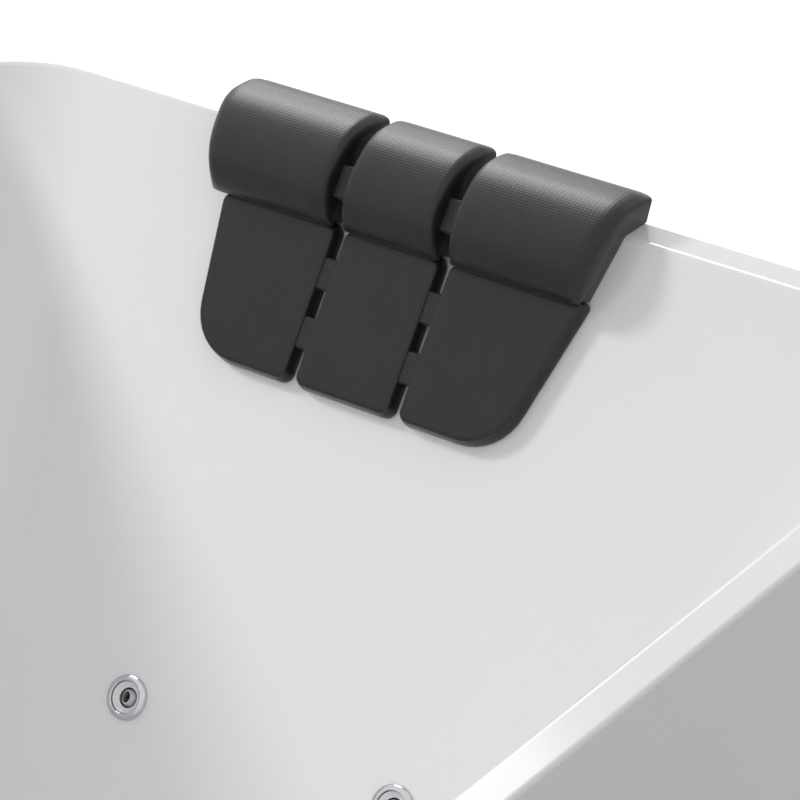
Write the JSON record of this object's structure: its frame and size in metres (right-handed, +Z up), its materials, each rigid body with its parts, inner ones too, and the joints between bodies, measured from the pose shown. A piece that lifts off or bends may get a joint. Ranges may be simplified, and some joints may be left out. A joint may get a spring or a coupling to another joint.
{
  "type": "jetted bathtub",
  "caption": "Rectangular jetted bathtub with a thin flat rim, sloped head wall, soft headrest over the rim, swivel jets, pump, waste and side panels.",
  "frame": {"origin": "on the floor, under the middle of the tub", "axes": "+X towards the head end, +Y towards the far long side, +Z up"},
  "size_m": [1.7, 0.85, 0.626],
  "materials": {
    "acrylic": "gloss white acrylic",
    "chrome": "polished chrome",
    "hose": "flexible pale plastic",
    "pipe": "white pipe plastic",
    "black": "black plastic",
    "timber": "raw timber",
    "steel": "galvanised steel",
    "board": "raw board",
    "foam": "matt charcoal moulded foam with a fine embossed pattern",
    "cup": "clear soft vinyl",
    "insert": "satin pale grey plastic",
    "nozzle": "satin grey plastic",
    "motor": "dark grey paint",
    "shaft": "ground steel",
    "copper": "copper windings"
  },
  "bodies": {
    "tub": {"access_panel": "acrylic", "air_button_housing": "chrome", "air_hoses": "hose", "air_valve_body": "pipe", "basin": "acrylic", "cable_gland": "black", "corner_battens": "timber", "cross_foot": "steel", "cross_head": "steel", "drain_body": "pipe", "drain_flange": "chrome", "fan_cover": "black", "floor_board": "board", "foot_lock_nuts": "steel", "jet_bezel_left": "chrome", "jet_bezel_right": "chrome", "jet_bodies": "pipe", "jet_inserts": "insert", "jet_lock_nuts": "pipe", "motor_housing": "motor", "motor_stator": "copper", "overflow_body": "pipe", "panel_screws": "steel", "pump_shelf": "steel", "pump_volute": "black", "rail_back": "steel", "rail_front": "steel", "side_jet_bezels": "chrome", "skirt_back": "acrylic", "skirt_foot": "acrylic", "skirt_front": "acrylic", "suction_body": "pipe", "suction_cover": "chrome", "suction_pipe": "hose", "water_hoses": "hose"},
    "jet_nozzle_right": {"jet_nozzle_right": "nozzle"},
    "jet_nozzle_left": {"jet_nozzle_left": "nozzle"},
    "side_jet_nozzle_front_foot": {"side_jet_nozzle_front_foot": "nozzle"},
    "side_jet_nozzle_front_head": {"side_jet_nozzle_front_head": "nozzle"},
    "side_jet_nozzle_back_head": {"side_jet_nozzle_back_head": "nozzle"},
    "side_jet_nozzle_back_foot": {"side_jet_nozzle_back_foot": "nozzle"},
    "air_button": {"air_button": "chrome"},
    "air_knob": {"air_knob": "chrome"},
    "overflow_knob": {"overflow_knob": "chrome"},
    "drain_stopper": {"drain_stopper": "chrome"},
    "pump_rotor": {"motor_rotor": "shaft", "motor_fan": "black", "pump_impeller": "black"},
    "headrest": {"headrest_pad_centre": "foam", "headrest_pad_left": "foam", "headrest_pad_right": "foam", "headrest_roll_centre": "foam", "headrest_roll_left": "foam", "headrest_roll_right": "foam", "headrest_suction_cups": "cup", "headrest_webs": "foam"},
    "levelling_foot_foot_front": {"levelling_foot_foot_front": "black"},
    "levelling_foot_foot_back": {"levelling_foot_foot_back": "black"},
    "levelling_foot_head_front": {"levelling_foot_head_front": "black"},
    "levelling_foot_head_back": {"levelling_foot_head_back": "black"}
  },
  "joints": [
    {"name": "jet_nozzle_right_swivel", "type": "hinge", "parent": "tub", "child": "jet_nozzle_right", "pos_m": [0.61057, -0.1087, 0.27533], "axis": [0.565, 0, 0.8251], "range_deg": [0, 40]},
    {"name": "jet_nozzle_left_swivel", "type": "hinge", "parent": "tub", "child": "jet_nozzle_left", "pos_m": [0.61057, 0.1087, 0.27533], "axis": [0.565, 0, 0.8251], "range_deg": [0, 40]},
    {"name": "side_jet_nozzle_front_foot_swivel", "type": "hinge", "parent": "tub", "child": "side_jet_nozzle_front_foot", "pos_m": [-0.42, -0.36199, 0.32831], "axis": [0, -0.1736, 0.9848], "range_deg": [-15, 15]},
    {"name": "side_jet_nozzle_front_head_swivel", "type": "hinge", "parent": "tub", "child": "side_jet_nozzle_front_head", "pos_m": [0.04, -0.36199, 0.32831], "axis": [0, -0.1736, 0.9848], "range_deg": [-15, 15]},
    {"name": "side_jet_nozzle_back_head_swivel", "type": "hinge", "parent": "tub", "child": "side_jet_nozzle_back_head", "pos_m": [0.04, 0.36199, 0.32831], "axis": [0, 0.1736, 0.9848], "range_deg": [-15, 15]},
    {"name": "side_jet_nozzle_back_foot_swivel", "type": "hinge", "parent": "tub", "child": "side_jet_nozzle_back_foot", "pos_m": [-0.42, 0.36199, 0.32831], "axis": [0, 0.1736, 0.9848], "range_deg": [-15, 15]},
    {"name": "air_button_press", "type": "slide", "parent": "tub", "child": "air_button", "axis": [0, 0.9848, -0.1736], "range_m": [0, 0.004], "stiffness_N_per_m": 300, "springref_m": -0.003},
    {"name": "air_knob_turn", "type": "hinge", "parent": "tub", "child": "air_knob", "pos_m": [-0.23, 0.3806, 0.49], "axis": [0, -0.9848, 0.1736], "range_deg": [0, 270]},
    {"name": "overflow_knob_turn", "type": "hinge", "parent": "tub", "child": "overflow_knob", "pos_m": [-0.80906, 0, 0.525], "axis": [0.9781, 0, 0.2079], "range_deg": [0, 90]},
    {"name": "drain_stopper_lift", "type": "slide", "parent": "tub", "child": "drain_stopper", "axis": [0, 0, 1], "range_m": [0, 0.012]},
    {"name": "pump_rotor_spin", "type": "hinge", "parent": "tub", "child": "pump_rotor", "pos_m": [0.755, 0.125, 0.2], "axis": [0, 1, 0], "continuous": true},
    {"name": "headrest_lift_off", "type": "slide", "parent": "tub", "child": "headrest", "axis": [0, 0, 1], "range_m": [0, 0.25]},
    {"name": "levelling_foot_foot_front_screw", "type": "slide", "parent": "tub", "child": "levelling_foot_foot_front", "axis": [0, 0, -1], "range_m": [0, 0.02]},
    {"name": "levelling_foot_foot_back_screw", "type": "slide", "parent": "tub", "child": "levelling_foot_foot_back", "axis": [0, 0, -1], "range_m": [0, 0.02]},
    {"name": "levelling_foot_head_front_screw", "type": "slide", "parent": "tub", "child": "levelling_foot_head_front", "axis": [0, 0, -1], "range_m": [0, 0.02]},
    {"name": "levelling_foot_head_back_screw", "type": "slide", "parent": "tub", "child": "levelling_foot_head_back", "axis": [0, 0, -1], "range_m": [0, 0.02]}
  ],
  "couplings": [
    {"joint": "drain_stopper_lift", "follows": "overflow_knob_turn", "m_per_rad": 0.0076}
  ]
}
